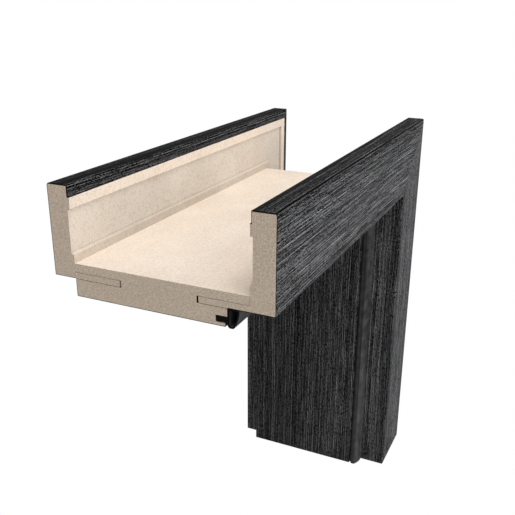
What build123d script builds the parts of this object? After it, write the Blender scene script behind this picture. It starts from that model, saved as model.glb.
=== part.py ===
from build123d import *
import os

# Door casing frame: sectioned upper corner of an adjustable wrapped MDF door lining.
# Millimetres. X runs toward the wall, Y from the door leaf side to the adjustable side, Z up.
# The origin is on the wall-side face of the jamb lining, mid-depth, level with the head's opening face.

# Overall sample
OVERALL_DEPTH = 153.0
HEAD_CUT_LENGTH = 290.0
JAMB_CUT_LENGTH = 270.0

# Casing boards
CASING_WIDTH = 60.0
CASING_THICK = 16.0
OUTER_ARRIS = 1.8
INNER_ARRIS = 0.7
BACK_ARRIS = 0.6
PAD_WIDTH = 15.0
RECESS_DEEP = 1.7
LIP_HEIGHT = 5.5
LIP_SLOPE = 5.0
LIP_STEP = 1.0

# Casing tongue and its groove
TONGUE_THICK = 4.0
TONGUE_LONG = 33.0
GROOVE_PLAY = 0.3
GROOVE_END_GAP = 1.2
GLUE_LINE = 0.2

# Lining boards
LINING_THICK = 22.0
REBATE_DEEP = 12.0
SHOULDER_SETBACK = 30.0
LINING_ARRIS = 0.6

# Door seal and its slot
SLOT_HIGH = 4.4
SLOT_DEEP = 8.0
SLOT_SETUP = 2.3
LOW_LIP_BACK = 1.4
STEM_THICK = 3.4
STEM_SHORT = 0.3
BARB_PLAY = 0.1
BARB_LONG = 2.4
SEAL_HEAD_WIDE = 7.4
SEAL_BELLY = 0.9
SEAL_TOP_CORNER = 1.0
SEAL_TIP_START = 0.8
SEAL_TIP_WIDE = 2.9
SEAL_PROUD = 0.4
SEAL_WALL = 1.1

# Decor foil
FOIL_THICK = 0.4
FOIL_TURN = 7.5
TURN_RECESS = 0.8

# Derived lines of the section: u is the depth from mid-wall, p the height from the opening face
FRONT_FACE = -OVERALL_DEPTH / 2
REAR_FACE = OVERALL_DEPTH / 2
FRONT_BACK = FRONT_FACE + CASING_THICK
REAR_BACK = REAR_FACE - CASING_THICK
CASING_LOW = REBATE_DEEP
CASING_TOP = CASING_LOW + CASING_WIDTH
SHOULDER = FRONT_FACE + SHOULDER_SETBACK
LOW_SHOULDER = SHOULDER + LOW_LIP_BACK
TURN_LINE = CASING_TOP - FOIL_TURN
TURN_BACK = FRONT_BACK - TURN_RECESS


def head_plane():
    """Section plane at the sawn end of the head, normal along the head."""
    return Plane(origin=(-HEAD_CUT_LENGTH, 0, 0), x_dir=(0, 1, 0), z_dir=(1, 0, 0))


def jamb_plane():
    """Section plane above the corner, normal down the jamb."""
    return Plane(origin=(-LINING_THICK, 0, CASING_TOP + 5), x_dir=(0, 1, 0), z_dir=(0, 0, -1))


def mitre_wedge(upper):
    """Half of the space on one side of the 45 degree mitre plane."""
    reach = 600.0
    low = (-LINING_THICK - reach, -reach)
    high = (-LINING_THICK + reach, reach)
    far = (-LINING_THICK - reach, reach) if upper else (-LINING_THICK + reach, -reach)
    face = Plane.XZ * make_face(Polyline(low, high, far, close=True))
    return extrude(face, amount=OVERALL_DEPTH, both=True)


def run_head(face):
    """Section run along the head and mitred at the corner."""
    bar = extrude(head_plane() * face, amount=HEAD_CUT_LENGTH + CASING_TOP)
    return bar & mitre_wedge(True)


def run_jamb(face):
    """The same section run down the jamb and mitred at the corner."""
    bar = extrude(jamb_plane() * face, amount=JAMB_CUT_LENGTH + CASING_TOP + 5)
    return bar & mitre_wedge(False)


def rect(u0, u1, p0, p1):
    """Plain rectangle of the section."""
    return make_face(Polyline((u0, p0), (u1, p0), (u1, p1), (u0, p1), close=True))


def corner_at(face, u, p):
    """The corner of a section nearest to a point."""
    target = Vector(u, p, 0)
    return min(face.vertices(), key=lambda v: (Vector(v) - target).length)


def rounded(face, corners, radius):
    """Section with the given corners rounded."""
    picked = [corner_at(face, u, p) for u, p in corners]
    return fillet(picked, radius)


def casing_outline(slope):
    """Front casing section with tongue, still at full finished size."""
    back = FRONT_BACK
    recess = back - RECESS_DEEP
    lip_top = LINING_THICK + LIP_HEIGHT
    tongue_top = CASING_LOW + TONGUE_THICK
    points = [
        (FRONT_FACE, CASING_LOW),
        (back + TONGUE_LONG, CASING_LOW),
        (back + TONGUE_LONG, tongue_top),
        (back, tongue_top),
        (back, lip_top),
        (recess, lip_top + slope),
        (recess, CASING_TOP - PAD_WIDTH),
        (back, CASING_TOP - PAD_WIDTH),
        (back, TURN_LINE),
        (TURN_BACK, TURN_LINE),
        (TURN_BACK, CASING_TOP),
        (FRONT_FACE, CASING_TOP),
    ]
    return make_face(Polyline(*points, close=True))


def casing_section(slope):
    """Finished front casing section with its rounded arrises."""
    face = casing_outline(slope)
    face = rounded(face, [(FRONT_FACE, CASING_LOW)], INNER_ARRIS)
    face = rounded(face, [(FRONT_FACE, CASING_TOP)], OUTER_ARRIS)
    return rounded(face, [(TURN_BACK, CASING_TOP)], BACK_ARRIS)


def casing_skin_zone():
    """Region of the casing section that the wrapped foil takes up."""
    inside_front = FRONT_FACE + FOIL_THICK
    inside_low = CASING_LOW + FOIL_THICK
    inside_top = CASING_TOP - FOIL_THICK
    core = rect(inside_front, FRONT_BACK + TONGUE_LONG + 5, inside_low, inside_top)
    core = rounded(core, [(inside_front, inside_low)], INNER_ARRIS - FOIL_THICK)
    core = rounded(core, [(inside_front, inside_top)], OUTER_ARRIS - FOIL_THICK)
    whole = rect(FRONT_FACE - 5, FRONT_BACK, CASING_LOW - 5, CASING_TOP + 5)
    turn = rect(TURN_BACK - FOIL_THICK, FRONT_BACK, TURN_LINE, CASING_TOP)
    ledge = rect(TURN_BACK - FOIL_THICK, FRONT_BACK, TURN_LINE - FOIL_THICK, TURN_LINE)
    return (whole - core) + turn + ledge


def ceiling_zone():
    """Strip under the front tongue that forms the top of the rebate."""
    return rect(FRONT_BACK, SHOULDER, CASING_LOW, CASING_LOW + FOIL_THICK)


def flipped(face):
    """Front casing section turned over to face the other way."""
    return mirror(face, about=Plane.YZ)


def front_casing_sections():
    """Core, wrap foil and rebate foil of the front casing."""
    whole = casing_section(LIP_SLOPE)
    skin = whole & casing_skin_zone()
    ceiling = ceiling_zone()
    return whole - skin - ceiling, skin, ceiling


def rear_casing_sections():
    """Core and wrap foil of the sliding rear casing."""
    whole = casing_section(LIP_STEP)
    skin = whole & casing_skin_zone()
    return flipped(whole - skin), flipped(skin)


def lining_outline():
    """Lining board section with both grooves and the seal slot, at full finished size."""
    deep = TONGUE_LONG + GROOVE_END_GAP
    low = CASING_LOW - GROOVE_PLAY
    high = CASING_LOW + TONGUE_THICK + GROOVE_PLAY
    board = rect(FRONT_BACK + GLUE_LINE, REAR_BACK, 0, LINING_THICK)
    board -= rect(FRONT_BACK - 1, SHOULDER, -1, CASING_LOW)
    board -= rect(FRONT_BACK - 1, FRONT_BACK + deep, low, high)
    board -= rect(REAR_BACK - deep, REAR_BACK + 1, low, high)
    board -= rect(SHOULDER - 1, SHOULDER + SLOT_DEEP, SLOT_SETUP, SLOT_SETUP + SLOT_HIGH)
    return board - rect(SHOULDER - 1, LOW_SHOULDER, -1, SLOT_SETUP)


def lining_section():
    """Finished lining section with softened arrises."""
    return rounded(lining_outline(), [(LOW_SHOULDER, 0), (REAR_BACK, 0)], LINING_ARRIS)


def lining_skin_zone():
    """Region of the lining section that the wrapped foil takes up."""
    u0 = LOW_SHOULDER + FOIL_THICK
    u1 = REAR_BACK - FOIL_THICK
    core = rect(u0, u1, FOIL_THICK, LINING_THICK + 5)
    core = rounded(core, [(u0, FOIL_THICK), (u1, FOIL_THICK)], LINING_ARRIS - FOIL_THICK)
    core += rect(SHOULDER + FOIL_THICK, u1, SLOT_SETUP + SLOT_HIGH / 2, LINING_THICK + 5)
    wrap = rect(SHOULDER - 5, REAR_BACK + 5, -5, CASING_LOW - GROOVE_PLAY)
    return wrap - core


def lining_sections():
    """Core and wrap foil of the lining."""
    whole = lining_section()
    skin = whole & lining_skin_zone()
    return whole - skin, skin


def seal_head():
    """Wedge-shaped head of the seal, from the top of the rebate to the lining face."""
    tip_u = SHOULDER - SEAL_TIP_START
    tip_end = tip_u - SEAL_TIP_WIDE
    nose = SHOULDER - SEAL_HEAD_WIDE
    nose_p = CASING_LOW - SEAL_TOP_CORNER
    belly = ((nose + tip_end) / 2 - SEAL_BELLY, (nose_p - SEAL_PROUD) / 2)
    stem_low = SLOT_SETUP + (SLOT_HIGH - STEM_THICK) / 2
    edges = [
        Line((LOW_SHOULDER, stem_low), (SHOULDER, stem_low + STEM_THICK)),
        Line((SHOULDER, stem_low + STEM_THICK), (SHOULDER, CASING_LOW)),
        Line((SHOULDER, CASING_LOW), (nose + SEAL_TOP_CORNER, CASING_LOW)),
        Line((nose + SEAL_TOP_CORNER, CASING_LOW), (nose, nose_p)),
        ThreePointArc((nose, nose_p), belly, (tip_end, -SEAL_PROUD)),
        Line((tip_end, -SEAL_PROUD), (tip_u, -SEAL_PROUD)),
        Line((tip_u, -SEAL_PROUD), (LOW_SHOULDER, stem_low)),
    ]
    return make_face(Curve() + edges)


def seal_section():
    """Door seal with a hollow head and a barbed stem."""
    middle = SLOT_SETUP + SLOT_HIGH / 2
    stem_end = SHOULDER + SLOT_DEEP - STEM_SHORT
    barb_half = SLOT_HIGH / 2 - BARB_PLAY
    head = seal_head()
    chamber = offset(head, amount=-SEAL_WALL, kind=Kind.INTERSECTION)
    stem = rect(SHOULDER, stem_end, middle - STEM_THICK / 2, middle + STEM_THICK / 2)
    barb = rect(stem_end - BARB_LONG, stem_end, middle - barb_half, middle + barb_half)
    return (head - chamber) + stem + barb


def write(name, shape):
    """One STEP file for one piece."""
    export_step(shape, "parts/" + name + ".step")


def write_pair(name, face):
    """The head piece and the jamb piece that share one section."""
    write("head_" + name, run_head(face))
    write("jamb_" + name, run_jamb(face))


def build():
    """Every piece of the sample."""
    os.makedirs("parts", exist_ok=True)
    lining, lining_foil = lining_sections()
    write_pair("lining", lining)
    write_pair("lining_foil", lining_foil)
    front, front_foil, rebate_foil = front_casing_sections()
    write_pair("front_casing", front)
    write_pair("front_casing_foil", front_foil)
    write_pair("rebate_foil", rebate_foil)
    rear, rear_foil = rear_casing_sections()
    write_pair("rear_casing", rear)
    write_pair("rear_casing_foil", rear_foil)
    write_pair("seal", seal_section())


build()
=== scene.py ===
import math

import bmesh
import bpy
from mathutils import Matrix, Vector


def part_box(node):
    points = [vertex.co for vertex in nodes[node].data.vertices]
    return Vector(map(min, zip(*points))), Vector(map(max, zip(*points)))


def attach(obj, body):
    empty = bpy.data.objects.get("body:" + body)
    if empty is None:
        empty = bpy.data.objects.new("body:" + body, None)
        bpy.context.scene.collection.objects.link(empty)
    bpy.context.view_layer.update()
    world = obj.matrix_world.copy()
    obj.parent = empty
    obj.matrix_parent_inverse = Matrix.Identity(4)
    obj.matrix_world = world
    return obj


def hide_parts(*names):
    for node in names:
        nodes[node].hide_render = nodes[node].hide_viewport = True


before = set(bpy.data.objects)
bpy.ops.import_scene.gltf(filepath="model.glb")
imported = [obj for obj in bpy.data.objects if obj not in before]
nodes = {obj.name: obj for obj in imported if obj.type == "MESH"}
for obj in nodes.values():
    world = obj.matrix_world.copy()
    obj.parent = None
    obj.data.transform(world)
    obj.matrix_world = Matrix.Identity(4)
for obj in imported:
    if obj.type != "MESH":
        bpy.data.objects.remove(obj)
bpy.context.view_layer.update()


# Lining boards and casing boards of the head and the jamb.
# Medium density fibreboard, moulded to section and here sawn off square at both ends of the sample.
# The pressed faces are cream and almost even, the milled recesses greyer, the sawn ends brown and torn and
# darker still with painted shade.

head_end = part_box("head_lining")[0].x
jamb_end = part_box("jamb_lining")[0].z
lining_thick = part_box("head_lining")[1].z
casing_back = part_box("head_rear_casing_foil")[0].y
casing_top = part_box("head_rear_casing_foil")[1].z
tongue_tip, tongue_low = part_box("head_rear_casing")[0].yz
near_face = 0.00005
film_thick = 0.0004
film_turn = 0.0075
turn_recess = 0.0008


def linear(hex_colour):
    """sRGB hex to the linear colour that a shader takes."""
    parts = [int(hex_colour[i:i + 2], 16) / 255 for i in (1, 3, 5)]
    return tuple(c / 12.92 if c <= 0.04045 else ((c + 0.055) / 1.055) ** 2.4 for c in parts) + (1.0,)


def empty_material(name):
    """A material with no nodes yet, and its tree."""
    mat = bpy.data.materials.new(name)
    mat.use_nodes = True
    mat.node_tree.nodes.clear()
    return mat, mat.node_tree


def add(tree, kind, sockets=None, **settings):
    """Adds a shader node with its settings, and gives each socket, by name or number, a value or a link."""
    new = tree.nodes.new(kind)
    for name, value in settings.items():
        setattr(new, name, value)
    for name, value in (sockets or {}).items():
        socket = next(s for i, s in enumerate(new.inputs) if s.enabled and name in (s.name, i))
        if isinstance(value, bpy.types.Node):
            value = next(s for s in value.outputs if s.enabled)
        if isinstance(value, bpy.types.NodeSocket):
            tree.links.new(value, socket)
        else:
            socket.default_value = value
    return new


def section_place(tree):
    """Place of a point, its axes, its height above the opening face, and whether the saw cut it."""
    place = add(tree, "ShaderNodeTexCoord").outputs["Object"]
    axis = add(tree, "ShaderNodeSeparateXYZ", {0: place}).outputs
    over_jamb = add(tree, "ShaderNodeMath", {0: axis["X"], 1: lining_thick}, operation="ADD")
    height = add(tree, "ShaderNodeMath", {0: axis["Z"], 1: over_jamb}, operation="MAXIMUM")
    head_sawn = add(tree, "ShaderNodeMath", {0: axis["X"], 1: head_end + near_face}, operation="LESS_THAN")
    jamb_sawn = add(tree, "ShaderNodeMath", {0: axis["Z"], 1: jamb_end + near_face}, operation="LESS_THAN")
    sawn = add(tree, "ShaderNodeMath", {0: head_sawn, 1: jamb_sawn}, operation="MAXIMUM")
    return place, axis, height, sawn


def fibreboard():
    """MDF whose colour follows what was done to each face, pressed, routed, grooved or sawn, with painted
    shade and painted light laid over it.
    """
    mat, tree = empty_material("medium_density_fibreboard")
    # Single fibres are finer than this, and drawn coarser because they would not show
    fibre_mm, fleck_mm, cloud_mm = 0.9, 2.2, 40.0
    groove_play, groove_end_gap, tongue_thick = 0.0004, 0.0013, 0.004
    pad_width, shadow_line_width, glue_thick = 0.0150, 0.0007, 0.0004
    near_lit_from, near_lit_to, far_pale_from, far_pale_to, foot_high, foot_gone = 0.006, 0.055, 0.10, 0.28, 0.029, 0.030
    near_lit_share, far_pale_share, pad_grey_share, foot_shade_share, shadow_line_share = 0.55, 0.72, 0.24, 0.32, 0.8
    place, axis, height, sawn = section_place(tree)
    depth = add(tree, "ShaderNodeMath", {0: axis["Y"]}, operation="ABSOLUTE")
    unsawn = add(tree, "ShaderNodeMath", {0: 1.0, 1: sawn}, operation="SUBTRACT")

    # Walls of the tongue groove get painted shade, near black; the tongue in it keeps the colour of the board
    groove_near, groove_far = tongue_tip - groove_end_gap, casing_back - near_face
    tongue_mid = tongue_low + tongue_thick / 2
    in_depth = add(tree, "ShaderNodeMath", {0: depth, 1: (groove_near + groove_far) / 2,
                                            2: (groove_far - groove_near) / 2}, operation="COMPARE")
    in_height = add(tree, "ShaderNodeMath", {0: height, 1: tongue_mid, 2: tongue_thick / 2 + groove_play},
                    operation="COMPARE")
    tongue_high = add(tree, "ShaderNodeMath", {0: height, 1: tongue_mid,
                                               2: tongue_thick / 2 + groove_play / 4}, operation="COMPARE")
    tongue_deep = add(tree, "ShaderNodeMath", {0: depth, 1: tongue_tip - groove_end_gap / 2},
                      operation="GREATER_THAN")
    on_tongue = add(tree, "ShaderNodeMath", {0: tongue_high, 1: tongue_deep}, operation="MULTIPLY")
    groove_shade = add(tree, "ShaderNodeMath", {0: in_depth, 1: in_height}, operation="MULTIPLY")
    groove_shade = add(tree, "ShaderNodeMath", {0: groove_shade, 1: on_tongue}, operation="SUBTRACT")
    groove_shade = add(tree, "ShaderNodeMath", {0: groove_shade, 1: unsawn}, operation="MULTIPLY", use_clamp=True)

    # Back of the casings: milled below the pad, with a painted shadow line right under it
    behind = add(tree, "ShaderNodeMath", {0: depth, 1: casing_back - near_face}, operation="GREATER_THAN")
    behind = add(tree, "ShaderNodeMath", {0: behind, 1: unsawn}, operation="MULTIPLY")
    below_pad = add(tree, "ShaderNodeMath", {0: height, 1: casing_top - pad_width - near_face},
                    operation="LESS_THAN")
    milled_and_painted_light = add(tree, "ShaderNodeMath", {0: behind, 1: below_pad}, operation="MULTIPLY")
    close_under = add(tree, "ShaderNodeMath", {0: height, 1: casing_top - pad_width - shadow_line_width},
                      operation="GREATER_THAN")
    pad_shadow_line = add(tree, "ShaderNodeMath", {0: milled_and_painted_light, 1: close_under}, operation="MULTIPLY")
    pad_shadow_line = add(tree, "ShaderNodeMath", {0: pad_shadow_line, 1: shadow_line_share}, operation="MULTIPLY")

    # Painted light along the board: the milled faces are drawn paler close to the saw cut and again far along
    # it; the pad is drawn a little greyer, and the lip at the foot gets painted shade
    along_head = add(tree, "ShaderNodeMath", {0: axis["X"], 1: head_end}, operation="SUBTRACT")
    along_jamb = add(tree, "ShaderNodeMath", {0: axis["Z"], 1: jamb_end}, operation="SUBTRACT")
    from_saw = add(tree, "ShaderNodeMath", {0: along_head, 1: along_jamb}, operation="MINIMUM")
    painted_light_along_board = add(tree, "ShaderNodeMapRange", {0: from_saw, 1: near_lit_from, 2: near_lit_to, 3: near_lit_share, 4: 1.0})
    far_paling = add(tree, "ShaderNodeMapRange", {0: from_saw, 1: far_pale_from, 2: far_pale_to, 3: 1.0, 4: far_pale_share})
    painted_light_along_board = add(tree, "ShaderNodeMath", {0: painted_light_along_board, 1: far_paling}, operation="MULTIPLY")
    # The milled grey also takes the painted light along the board
    milled_and_painted_light = add(tree, "ShaderNodeMath", {0: milled_and_painted_light, 1: painted_light_along_board}, operation="MULTIPLY")
    pad_grey = add(tree, "ShaderNodeMath", {0: behind, 1: pad_grey_share}, operation="MULTIPLY")
    milled_and_painted_light = add(tree, "ShaderNodeMath", {0: milled_and_painted_light, 1: pad_grey}, operation="MAXIMUM")
    # Painted shade on the foot of the casing's back, by the lip, where it meets the lining
    foot_shade = add(tree, "ShaderNodeMapRange", {0: height, 1: foot_high, 2: foot_gone, 3: foot_shade_share, 4: 0.0})
    foot_shade = add(tree, "ShaderNodeMath", {0: foot_shade, 1: behind}, operation="MULTIPLY")
    foot_shade = add(tree, "ShaderNodeMath", {0: foot_shade, 1: painted_light_along_board}, operation="MULTIPLY")

    # Glue line under the film at the top and behind the rear casing, near black where the saw cut it
    glue_low = casing_top - film_thick - glue_thick
    glue_top = add(tree, "ShaderNodeMath", {0: height, 1: glue_low}, operation="GREATER_THAN")
    in_turn = add(tree, "ShaderNodeMath", {0: height, 1: casing_top - film_turn - film_thick},
                  operation="GREATER_THAN")
    near_turn = add(tree, "ShaderNodeMath", {0: axis["Y"], 1: casing_back,
                                             2: turn_recess + film_thick + glue_thick}, operation="COMPARE")
    glue_turn = add(tree, "ShaderNodeMath", {0: in_turn, 1: near_turn}, operation="MULTIPLY")
    glue = add(tree, "ShaderNodeMath", {0: glue_top, 1: glue_turn}, operation="MAXIMUM")
    glue = add(tree, "ShaderNodeMath", {0: glue, 1: sawn}, operation="MULTIPLY")

    # Pressed fibre: fine fibres, darker flecks of bark and a slow cloud of press pressure
    fibre = add(tree, "ShaderNodeTexNoise", {"Vector": place, "Scale": 1000 / fibre_mm, "Detail": 4.0,
                                             "Roughness": 0.75})
    fleck = add(tree, "ShaderNodeTexNoise", {"Vector": place, "Scale": 1000 / fleck_mm, "Detail": 3.0})
    cloud = add(tree, "ShaderNodeTexNoise", {"Vector": place, "Scale": 1000 / cloud_mm, "Detail": 3.0})
    mottle = 0.0
    for marks, start, full, share in ((fibre, 0.40, 0.62, 0.6), (fleck, 0.50, 0.66, 0.35),
                                      (cloud, 0.35, 0.65, 0.3)):
        marks = add(tree, "ShaderNodeMapRange", {0: marks, 1: start, 2: full, 3: 0.0, 4: share})
        mottle = add(tree, "ShaderNodeMath", {0: mottle, 1: marks}, operation="ADD")
    torn = add(tree, "ShaderNodeMapRange", {0: fibre, 1: 0.36, 2: 0.66, 3: 0.0, 4: 1.0})

    pressed = add(tree, "ShaderNodeMix", {"Factor": mottle, "A": linear("#FAEDDE"), "B": linear("#DFCDBB")},
                  data_type="RGBA")
    routed = add(tree, "ShaderNodeMix", {"Factor": mottle, "A": linear("#E0D8CD"), "B": linear("#BFB4A7")},
                 data_type="RGBA")
    # Sawn end: browner fibre, drawn darker still as painted shade
    end = add(tree, "ShaderNodeMix", {"Factor": torn, "A": linear("#E6D5C3"), "B": linear("#B4A28D")},
              data_type="RGBA")
    colour = add(tree, "ShaderNodeMix", {"Factor": milled_and_painted_light, "A": pressed, "B": routed}, data_type="RGBA")
    # Laid over it in turn: a painted shadow line under the pad, painted shade by the lip, the sawn end, the
    # glue line, and painted shade in the groove
    for where, over in ((pad_shadow_line, linear("#7E6C58")), (foot_shade, linear("#A89987")), (sawn, end),
                        (glue, linear("#15110E")), (groove_shade, linear("#0A0706"))):
        colour = add(tree, "ShaderNodeMix", {"Factor": where, "A": colour, "B": over}, data_type="RGBA")

    # Dull all over, and rougher to the touch where it is sawn
    smooth, coarse, pressed_relief, sawn_relief = 0.72, 0.88, 0.15, 0.5
    rough = add(tree, "ShaderNodeMapRange", {0: fibre, 1: 0.3, 2: 0.7, 3: smooth, 4: coarse})
    relief = add(tree, "ShaderNodeMapRange", {0: sawn, 1: 0.0, 2: 1.0, 3: pressed_relief, 4: sawn_relief})
    bump = add(tree, "ShaderNodeBump", {"Strength": relief, "Distance": 0.0003, "Height": fibre})
    shader = add(tree, "ShaderNodeBsdfPrincipled", {"Base Color": colour, "Roughness": rough, "Normal": bump,
                                                    "Specular IOR Level": 0.2})
    add(tree, "ShaderNodeOutputMaterial", {"Surface": shader})
    return mat


mdf = fibreboard()
for name, board in nodes.items():
    if name.endswith(("lining", "casing")):
        board.data.materials.clear()
        board.data.materials.append(mdf)


# Decor film round the lining boards and the casings.
# A printed and embossed film in charcoal oak, glued round each board with its grain along the board.
# It runs from the rebate round the casing's face and top, turns down the back, and ends in a shallow recess.

inner_arris, outer_arris, back_arris, lining_arris, arris_steps = 0.0007, 0.0018, 0.0006, 0.0006, 6
slot_setup, slot_high, low_lip_back = 0.0023, 0.0044, 0.0014
front_low, front_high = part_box("head_front_casing_foil")
face, back, low, top_edge = front_low.y, front_high.y, front_low.z, front_high.z
shoulder, lining_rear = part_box("head_lining_foil")[0].y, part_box("head_lining_foil")[1].y
lining_film_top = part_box("head_lining_foil")[1].z
low_shoulder = shoulder + low_lip_back
saw_waste, raw_length, touch = 0.004, 0.38, 1e-6
mitre_foot = Vector((-lining_thick, 0.0, 0.0))
toward_wall, upward = Vector((1.0, 0.0, 0.0)), Vector((0.0, 0.0, 1.0))
boards = {
    "head": {"end": Vector((head_end, 0.0, 0.0)), "run": toward_wall, "out": upward, "inward": 1.0},
    "jamb": {"end": Vector((-lining_thick, 0.0, jamb_end)), "run": upward, "out": toward_wall,
             "inward": -1.0},
}


def decor_film(name, along, around):
    """Charcoal oak print: fine pale lines on slow dark bands, drawn near black where it turns over the top,
    with painted shade on the low arris and across the sheet.
    """
    mat, tree = empty_material(name)

    # The real print is finer than this, and drawn coarser because it would not show
    line_mm, band_mm = 0.62, 5.0

    # Marks that break up along the grain: size across and along it, and where their pattern starts
    broken_mm = {"fade": (1.2, 60.0, 0.0), "dash": (0.5, 24.0, 3.1),
                 "pore": (0.7, 2.6, 9.4), "grit": (0.7, 1.3, 0.0)}
    # Where in its noise each mark starts and is full, and how faint and how strong it prints
    broken_share = {"fade": (0.38, 0.60, 0.1, 1.0), "dash": (0.60, 0.67, 0.0, 0.8),
                    "pore": (0.46, 0.38, 0.0, 0.92), "grit": (0.54, 0.65, 0.0, 0.9)}

    drift_mm, drift_long_mm, drift_by = 34.0, 260.0, 0.006
    lane_mm, lane_shift = 0.8, 1.6
    sheet_middle, dim_half, clear_half, dim_share = 0.02, 0.026, 0.058, 0.74
    first_edge, first_end, first_shade_share = -0.086, -0.070, 0.54
    last_end, last_edge, last_shade_share = 0.131, 0.136, 0.5
    faint_band, strong_band, faint_streak, strong_streak = 0.76, 1.20, 0.25, 1.5
    turn_edge, turn_gamma, top_gamma = 0.0007, 1.35, 1.72
    shade_soft, edge_shade = 0.0005, 0.45
    place, axis, height, sawn = section_place(tree)
    run = add(tree, "ShaderNodeVectorMath", {0: place, 1: along}, operation="DOT_PRODUCT")
    turn = add(tree, "ShaderNodeVectorMath", {0: place, 1: around}, operation="DOT_PRODUCT")

    # The grain wanders slowly sideways along the board
    sheet = add(tree, "ShaderNodeCombineXYZ", {"X": run, "Y": turn})
    slow = add(tree, "ShaderNodeMapping", {"Vector": sheet,
                                           "Scale": (1000 / drift_long_mm, 1000 / drift_mm, 1.0)})
    drift = add(tree, "ShaderNodeTexNoise", {"Vector": slow, "Scale": 1.0, "Detail": 1.0})
    moved = add(tree, "ShaderNodeMath", {0: drift, 1: drift_by, 2: turn}, operation="MULTIPLY_ADD")
    grain = add(tree, "ShaderNodeCombineXYZ", {"X": run, "Y": moved})

    # Each lane of grain starts at its own place, so that no row of gaps runs across the board
    row = add(tree, "ShaderNodeMath", {0: moved, 1: 1000 / lane_mm}, operation="MULTIPLY")
    lane = add(tree, "ShaderNodeTexNoise", {"W": row, "Scale": 1.0, "Detail": 0.0}, noise_dimensions="1D")
    shift = add(tree, "ShaderNodeMath", {0: lane, 1: lane_shift}, operation="MULTIPLY")
    shift = add(tree, "ShaderNodeCombineXYZ", {"X": shift})
    broken = {}
    for mark, (across_mm, long_mm, offset) in broken_mm.items():
        stretch = add(tree, "ShaderNodeMapping", {"Vector": grain, "Location": (offset, 2 * offset, 0.0),
                                                  "Scale": (1000 / long_mm, 1000 / across_mm, 1.0)})
        laned = add(tree, "ShaderNodeVectorMath", {0: stretch, 1: shift}, operation="ADD")
        noise = add(tree, "ShaderNodeTexNoise", {"Vector": laned, "Scale": 1.0, "Detail": 1.0})
        start, full, least, most = broken_share[mark]
        broken[mark] = add(tree, "ShaderNodeMapRange", {0: noise, 1: start, 2: full, 3: least, 4: most})

    # Grain lines run on along the board and only fade in and out
    threads = add(tree, "ShaderNodeTexNoise", {"W": moved, "Scale": 1000 / line_mm, "Detail": 1.0},
                  noise_dimensions="1D")
    tones = add(tree, "ShaderNodeTexNoise", {"W": moved, "Scale": 1000 / band_mm, "Detail": 2.0},
                noise_dimensions="1D")
    bands = add(tree, "ShaderNodeMapRange", {0: tones, 1: 0.34, 2: 0.66, 3: 0.0, 4: 1.0})
    lines = add(tree, "ShaderNodeMapRange", {0: threads, 1: 0.54, 2: 0.62, 3: 0.0, 4: 1.0})
    lines = add(tree, "ShaderNodeMath", {0: lines, 1: broken["fade"]}, operation="MULTIPLY")
    colour = add(tree, "ShaderNodeMix", {"Factor": bands, "A": linear("#060607"), "B": linear("#121213")},
                 data_type="RGBA")
    for where, ink in ((lines, "#B4B4B6"), (broken["dash"], "#A2A2A4"), (broken["grit"], "#8A8A8C"),
                       (broken["pore"], "#040405")):
        colour = add(tree, "ShaderNodeMix", {"Factor": where, "A": colour, "B": linear(ink)},
                     data_type="RGBA")

    # Painted shade: the film is drawn slowly darker toward the middle of the sheet, and has a dark strip at
    # its start and its end
    from_middle = add(tree, "ShaderNodeMath", {0: turn, 1: sheet_middle}, operation="SUBTRACT")
    from_middle = add(tree, "ShaderNodeMath", {0: from_middle}, operation="ABSOLUTE")
    shade_fall = add(tree, "ShaderNodeMapRange", {0: from_middle, 1: dim_half, 2: clear_half, 3: dim_share, 4: 1.0})
    first_shade_strip = add(tree, "ShaderNodeMapRange", {0: turn, 1: first_edge, 2: first_end,
                                                   3: first_shade_share, 4: 1.0})
    last_shade_strip = add(tree, "ShaderNodeMapRange", {0: turn, 1: last_end, 2: last_edge, 3: 1.0, 4: last_shade_share})
    shade_tone = add(tree, "ShaderNodeMath", {0: shade_fall, 1: first_shade_strip}, operation="MULTIPLY")
    shade_tone = add(tree, "ShaderNodeMath", {0: shade_tone, 1: last_shade_strip}, operation="MULTIPLY")
    colour = add(tree, "ShaderNodeMix", {"Factor": shade_tone, "A": linear("#000000"), "B": colour},
                 data_type="RGBA")
    banded = add(tree, "ShaderNodeMapRange", {0: tones, 1: 0.36, 2: 0.64, 3: faint_band, 4: strong_band})
    colour = add(tree, "ShaderNodeVectorMath", {0: colour, "Scale": banded}, operation="SCALE")

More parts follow.
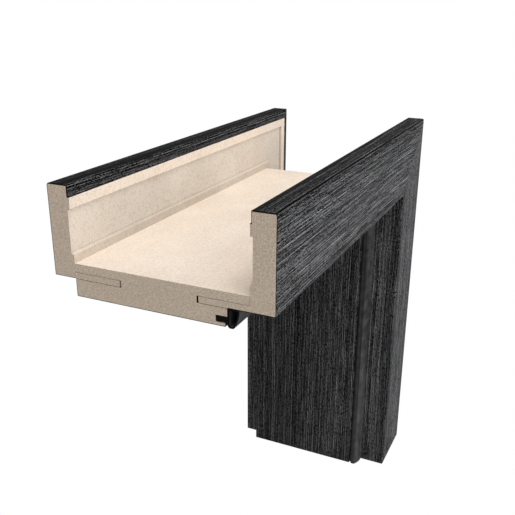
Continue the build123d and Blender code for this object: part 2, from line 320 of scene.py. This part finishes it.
    # Top edges and the turn-down behind them are drawn darker; the low arris, which lies in shade, gets
    # painted shade
    depth = add(tree, "ShaderNodeMath", {0: axis["Y"]}, operation="ABSOLUTE")
    top = add(tree, "ShaderNodeMapRange", {0: height, 1: casing_top - outer_arris / 2,
                                           2: casing_top - outer_arris / 6, 3: 0.0, 4: 1.0})
    turned = add(tree, "ShaderNodeMath", {0: height, 1: casing_top - film_turn - turn_edge},
                 operation="GREATER_THAN")
    inside = add(tree, "ShaderNodeMath", {0: depth, 1: -face - outer_arris}, operation="LESS_THAN")
    turned = add(tree, "ShaderNodeMath", {0: turned, 1: inside}, operation="MULTIPLY")
    shade = add(tree, "ShaderNodeMapRange", {0: height, 1: low - shade_soft, 2: low + film_thick,
                                             3: edge_shade, 4: 0.0})
    colour = add(tree, "ShaderNodeMix", {"Factor": shade, "A": colour, "B": linear("#050506")},
                 data_type="RGBA")
    dark_turn = add(tree, "ShaderNodeGamma", {"Color": colour, "Gamma": turn_gamma})
    dark_top = add(tree, "ShaderNodeGamma", {"Color": colour, "Gamma": top_gamma})
    streaks = add(tree, "ShaderNodeMapRange", {0: tones, 1: 0.38, 2: 0.62, 3: faint_streak, 4: strong_streak})
    dark_top = add(tree, "ShaderNodeVectorMath", {0: dark_top, "Scale": streaks}, operation="SCALE")
    colour = add(tree, "ShaderNodeMix", {"Factor": turned, "A": colour, "B": dark_turn}, data_type="RGBA")
    colour = add(tree, "ShaderNodeMix", {"Factor": top, "A": colour, "B": dark_top}, data_type="RGBA")

    # The saw leaves the black core of the film bare
    colour = add(tree, "ShaderNodeMix", {"Factor": sawn, "A": colour, "B": linear("#040404")},
                 data_type="RGBA")

    # Embossed grain: the pale lines stand up a little and are the less dull
    dull, less_dull = 0.72, 0.56
    rough = add(tree, "ShaderNodeMapRange", {0: threads, 1: 0.3, 2: 0.7, 3: dull, 4: less_dull})
    bump = add(tree, "ShaderNodeBump", {"Strength": 0.35, "Distance": 0.0001, "Height": threads})
    shader = add(tree, "ShaderNodeBsdfPrincipled", {"Base Color": colour, "Roughness": rough, "Normal": bump,
                                                    "Specular IOR Level": 0.01})
    add(tree, "ShaderNodeOutputMaterial", {"Surface": shader})
    return mat


def trace(board, corners):
    """Draws a section line from corner to corner, just beyond the board's sawn end."""
    start = board["end"] - board["run"] * saw_waste
    points = [start + Vector((0, u, 0)) + board["out"] * p for u, p in corners]
    bpy.ops.mesh.primitive_plane_add(size=0.001, location=points[0])
    bpy.ops.object.transform_apply()
    bpy.ops.object.mode_set(mode="EDIT")
    bpy.ops.mesh.select_mode(type="VERT")
    bpy.ops.mesh.select_all(action="SELECT")
    bpy.ops.mesh.merge(type="CENTER")
    for here, there in zip(points, points[1:]):
        bpy.ops.mesh.extrude_region_move(TRANSFORM_OT_translate={"value": there - here})
    return bpy.context.object


def draw_out(board):
    """Extrudes the traced line along the board, past the mitre."""
    bpy.ops.mesh.select_all(action="SELECT")
    bpy.ops.mesh.extrude_region_move(TRANSFORM_OT_translate={"value": board["run"] * raw_length})


def round_over(piece, board, corner, radius, segments):
    """Bevels the long edge that runs through one corner of the section."""
    u, p = corner
    bpy.ops.mesh.select_mode(type="EDGE")
    bpy.ops.mesh.select_all(action="DESELECT")
    mesh = bmesh.from_edit_mesh(piece.data)
    for edge in mesh.edges:
        off = max(max(abs(v.co.y - u), abs((v.co - board["end"]).dot(board["out"]) - p)) for v in edge.verts)
        edge.select_set(off < touch)
    bmesh.update_edit_mesh(piece.data)
    bpy.ops.mesh.bevel(offset=radius, segments=segments, affect="EDGES")


def saw_to_length(board):
    """Cuts a piece square at the sample's end and at 45 degrees on the mitre, and closes both cuts."""
    bpy.ops.mesh.select_all(action="SELECT")
    bpy.ops.mesh.bisect(plane_co=board["end"], plane_no=-board["run"], use_fill=True, clear_outer=True)
    bpy.ops.mesh.select_all(action="SELECT")
    bpy.ops.mesh.bisect(plane_co=mitre_foot, plane_no=board["run"] - board["out"], use_fill=True,
                        clear_outer=True)
    bpy.ops.mesh.select_all(action="SELECT")
    bpy.ops.mesh.normals_make_consistent(inside=False)
    bpy.ops.object.mode_set(mode="OBJECT")


def lay_film(name, side, lines, arrises, body, replaced):
    """Lays film along the lines of a section, thickens and cuts it, and takes the CAD film's place."""
    board = boards[side]
    bpy.ops.object.select_all(action="DESELECT")
    strips = []
    for corners in lines:
        strip = trace(board, corners)
        draw_out(board)
        for corner, radius in arrises:
            if corner in corners:
                round_over(strip, board, corner, radius, arris_steps)
        bpy.ops.object.mode_set(mode="OBJECT")
        wall = strip.modifiers.new("film", "SOLIDIFY")
        wall.thickness, wall.offset, wall.use_even_offset = film_thick, board["inward"], True
        bpy.ops.object.modifier_apply(modifier="film")
        strips.append(strip)
    for strip in strips:
        strip.select_set(True)
    if len(strips) > 1:
        bpy.ops.object.join()
    film = bpy.context.object
    bpy.ops.object.mode_set(mode="EDIT")
    saw_to_length(board)
    bpy.ops.object.shade_smooth_by_angle(angle=math.radians(30))
    film.name = film.data.name = f"{side}_{name}"
    film.data.materials.append(film_finish[side])
    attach(film, body)
    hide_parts(*(f"{side}_{node}" for node in replaced))


film_finish = {
    "head": decor_film("charcoal_oak_decor_film_head", (1, 0, 0), (0, 1, 1)),
    "jamb": decor_film("charcoal_oak_decor_film_jamb", (0, 0, 1), (1, 1, 0)),
}

front_line = [(shoulder, low), (face, low), (face, top_edge), (back - turn_recess, top_edge),
              (back - turn_recess, top_edge - film_turn), (back, top_edge - film_turn)]
rear_line = [(-back, top_edge - film_turn), (turn_recess - back, top_edge - film_turn),
             (turn_recess - back, top_edge), (-face, top_edge), (-face, low), (-back, low)]
lining_line = [(lining_rear, lining_film_top), (lining_rear, 0.0), (low_shoulder, 0.0),
               (low_shoulder, slot_setup)]
shoulder_line = [(shoulder, slot_setup + slot_high), (shoulder, lining_film_top)]

for side in boards:
    lay_film("front_casing_film", side, [front_line],
             [((face, low), inner_arris), ((face, top_edge), outer_arris),
              ((back - turn_recess, top_edge), back_arris)],
             "fixed_frame", ["front_casing_foil", "rebate_foil"])
    lay_film("rear_casing_film", side, [rear_line],
             [((-face, low), inner_arris), ((-face, top_edge), outer_arris),
              ((turn_recess - back, top_edge), back_arris)],
             "rear_casing", ["rear_casing_foil"])
    lay_film("lining_film", side, [lining_line, shoulder_line],
             [((lining_rear, 0.0), lining_arris), ((low_shoulder, 0.0), lining_arris)],
             "fixed_frame", ["lining_foil"])


# Door seal.
# A soft black elastomer extrusion: a hollow wedge-shaped head and a barbed stem, pushed into the slot.
# Its skin is smooth and dull from the die, with faint draw lines along it, and its cut end is deep black.

seal_high = low
stem_play, barb_play = 0.0005, 0.0001
stem_low, stem_top = slot_setup + stem_play, slot_setup + slot_high - stem_play
barb_low, barb_top = slot_setup + barb_play, slot_setup + slot_high - barb_play
stem_end, barb_start, barb_taper = shoulder + 0.0077, shoulder + 0.0053, 0.0007
nose, nose_high, chamfer = shoulder - 0.0074, low - 0.0010, 0.0010
tip_near, tip_far, tip_low = shoulder - 0.0008, shoulder - 0.0037, -0.0004
belly_high, belly_back, chamber_back = 0.0053, 0.00005, 0.00125
belly, chamber_belly = (nose + belly_back, belly_high), (nose + chamber_back, belly_high)

seal_line = [(low_shoulder, stem_low), (tip_near, tip_low), (tip_far, tip_low), belly, (nose, nose_high),
             (nose + chamfer, seal_high), (shoulder, seal_high), (shoulder, stem_top), (barb_start, stem_top),
             (barb_start, barb_top), (stem_end, barb_top), (stem_end, barb_low), (barb_start, barb_low),
             (barb_start, stem_low), (low_shoulder, stem_low)]
seal_wall, chamber_low = 0.0011, (shoulder - 0.0009, 0.0029)
chamber_line = [chamber_low, (shoulder - 0.0015, 0.0009), (shoulder - 0.0032, 0.0008), chamber_belly,
                (nose + 0.0012, low - 0.0015), (nose + 0.0016, low - seal_wall),
                (shoulder - seal_wall, low - seal_wall), (shoulder - seal_wall, 0.0062), chamber_low]
chamber_round, chamber_steps = 0.0044, 10
seal_rounds = [(belly, 0.0052, 10), ((tip_near, tip_low), 0.0006, 4), ((tip_far, tip_low), 0.0006, 4),
               ((nose, nose_high), 0.0003, 3), ((nose + chamfer, seal_high), 0.0003, 3),
               ((stem_end, barb_top), barb_taper, 2), ((stem_end, barb_low), barb_taper, 2)]


def elastomer():
    """Thermoplastic elastomer: dull black skin with draw lines, and a black cut end."""
    mat, tree = empty_material("black_thermoplastic_elastomer")
    bloom_mm, draw_mm, draw_long_mm = 7.0, 1.1, 160.0
    lip_low, lip_high, lip_shade = -0.0002, 0.0012, 0.45
    sheen, dull = 0.50, 0.62
    place, _, height, sawn = section_place(tree)
    bloom = add(tree, "ShaderNodeTexNoise", {"Vector": place, "Scale": 1000 / bloom_mm, "Detail": 4.0})
    across = add(tree, "ShaderNodeMapping", {"Vector": place, "Scale": (1000 / draw_long_mm, 1000 / draw_mm,
                                                                        1000 / draw_long_mm)})
    draw = add(tree, "ShaderNodeTexNoise", {"Vector": across, "Scale": 1.0, "Detail": 1.0})
    mottle = add(tree, "ShaderNodeMath", {0: bloom, 1: draw}, operation="ADD")
    skin = add(tree, "ShaderNodeMapRange", {0: mottle, 1: 0.75, 2: 1.25, 3: 0.0, 4: 1.0})
    colour = add(tree, "ShaderNodeMix", {"Factor": skin, "A": linear("#313132"), "B": linear("#575758")},
                 data_type="RGBA")

    # The lip at the seal's lower edge turns away from the light and stays darkest
    lip = add(tree, "ShaderNodeMapRange", {0: height, 1: lip_low, 2: lip_high, 3: lip_shade, 4: 0.0})
    colour = add(tree, "ShaderNodeMix", {"Factor": lip, "A": colour, "B": linear("#0A0A0A")},
                 data_type="RGBA")
    colour = add(tree, "ShaderNodeMix", {"Factor": sawn, "A": colour, "B": linear("#020202")},
                 data_type="RGBA")
    rough = add(tree, "ShaderNodeMapRange", {0: bloom, 1: 0.3, 2: 0.7, 3: sheen, 4: dull})
    bump = add(tree, "ShaderNodeBump", {"Strength": 0.25, "Distance": 0.0001, "Height": draw})
    shader = add(tree, "ShaderNodeBsdfPrincipled", {"Base Color": colour, "Roughness": rough, "Normal": bump,
                                                    "Specular IOR Level": 0.08})
    add(tree, "ShaderNodeOutputMaterial", {"Surface": shader})
    return mat


seal_finish = elastomer()
for side, board in boards.items():
    bpy.ops.object.select_all(action="DESELECT")
    tubes = []
    for corners, rounds in ((seal_line, seal_rounds),
                            (chamber_line, [(chamber_belly, chamber_round, chamber_steps)])):
        tube = trace(board, corners)
        draw_out(board)
        bpy.ops.mesh.select_all(action="SELECT")
        bpy.ops.mesh.remove_doubles(threshold=touch)
        for corner, radius, segments in rounds:
            round_over(tube, board, corner, radius, segments)
        bpy.ops.object.mode_set(mode="OBJECT")
        tubes.append(tube)
    for tube in tubes:
        tube.select_set(True)
    bpy.ops.object.join()
    seal = bpy.context.object
    bpy.ops.object.mode_set(mode="EDIT")
    saw_to_length(board)
    bpy.ops.object.shade_smooth_by_angle(angle=math.radians(35))
    seal.name = seal.data.name = f"{side}_door_seal"
    seal.data.materials.append(seal_finish)
    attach(seal, "fixed_frame")
    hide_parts(f"{side}_seal")


# Camera.
# A 50 mm lens in front of the sawn end of the head, looking down along it at the corner.

lens_mm, sensor_mm = 50.0, 36.0
camera_place = (-0.6200, -0.2185, 0.1791)
heading_deg, down_deg, roll_deg = 25.015, 20.953, 0.217
shift_right, shift_up = 0.0019, 0.0203

camera = bpy.data.objects.new("camera", bpy.data.cameras.new("camera"))
bpy.context.scene.collection.objects.link(camera)
camera.data.lens = lens_mm
camera.data.sensor_width = sensor_mm
camera.data.shift_x = shift_right
camera.data.shift_y = shift_up
camera.data.clip_start = 0.01
turn = Matrix.Rotation(math.radians(heading_deg - 90), 4, "Z")
tilt = Matrix.Rotation(math.radians(90 - down_deg), 4, "X")
roll = Matrix.Rotation(math.radians(roll_deg), 4, "Z")
camera.matrix_world = Matrix.Translation(camera_place) @ turn @ tilt @ roll
bpy.context.scene.camera = camera


# Studio.
# A pale painted floor well below the sample, a white surround, one large soft lamp overhead and one in front.

floor_drop, floor_size = 0.62, 12.0
surround_strength = 0.60

bpy.ops.object.select_all(action="DESELECT")
bpy.ops.mesh.primitive_plane_add(size=floor_size, location=(0, 0, jamb_end - floor_drop))
floor = bpy.context.object
floor.name = "floor"
floor_paint, paint_tree = empty_material("pale_floor_paint")
seen = add(paint_tree, "ShaderNodeLightPath").outputs["Is Camera Ray"]
paint = add(paint_tree, "ShaderNodeBsdfPrincipled", {"Base Color": linear("#E4E4E4"), "Roughness": 0.9})
white = add(paint_tree, "ShaderNodeEmission", {"Color": (1, 1, 1, 1), "Strength": 1.0})
shown = add(paint_tree, "ShaderNodeMixShader", {0: seen, 1: paint, 2: white})
add(paint_tree, "ShaderNodeOutputMaterial", {"Surface": shown})
floor.data.materials.append(floor_paint)

world = bpy.data.worlds.new("white_surround")
bpy.context.scene.world = world
world.use_nodes = True
sky = world.node_tree
sky.nodes.clear()
path = add(sky, "ShaderNodeLightPath").outputs
direct = add(sky, "ShaderNodeMath", {0: path["Is Camera Ray"], 1: path["Is Glossy Ray"]}, operation="MAXIMUM")
clear = add(sky, "ShaderNodeMath", {0: direct, 1: path["Is Transmission Ray"]}, operation="MAXIMUM")
level = add(sky, "ShaderNodeMapRange", {0: clear, 1: 0.0, 2: 1.0, 3: surround_strength, 4: 1.0})
glow = add(sky, "ShaderNodeBackground", {"Color": (1, 1, 1, 1), "Strength": level})
add(sky, "ShaderNodeOutputWorld", {"Surface": glow})


def soft_lamp(name, place, aim, size, watts):
    """A large square area lamp that points at a place."""
    lamp = bpy.data.objects.new(name, bpy.data.lights.new(name, "AREA"))
    bpy.context.scene.collection.objects.link(lamp)
    lamp.data.size = size
    lamp.data.energy = watts
    lamp.location = place
    lamp.rotation_euler = (Vector(place) - Vector(aim)).to_track_quat("Z", "Y").to_euler()


soft_lamp("overhead", place=(-0.30, -0.50, 1.42), aim=(-0.12, 0.0, 0.0), size=0.8, watts=10.1)
soft_lamp("front", place=(-0.02, -0.95, 0.50), aim=(-0.10, 0.0, 0.0), size=0.7, watts=4.7)

bpy.context.scene.view_settings.view_transform = "Standard"
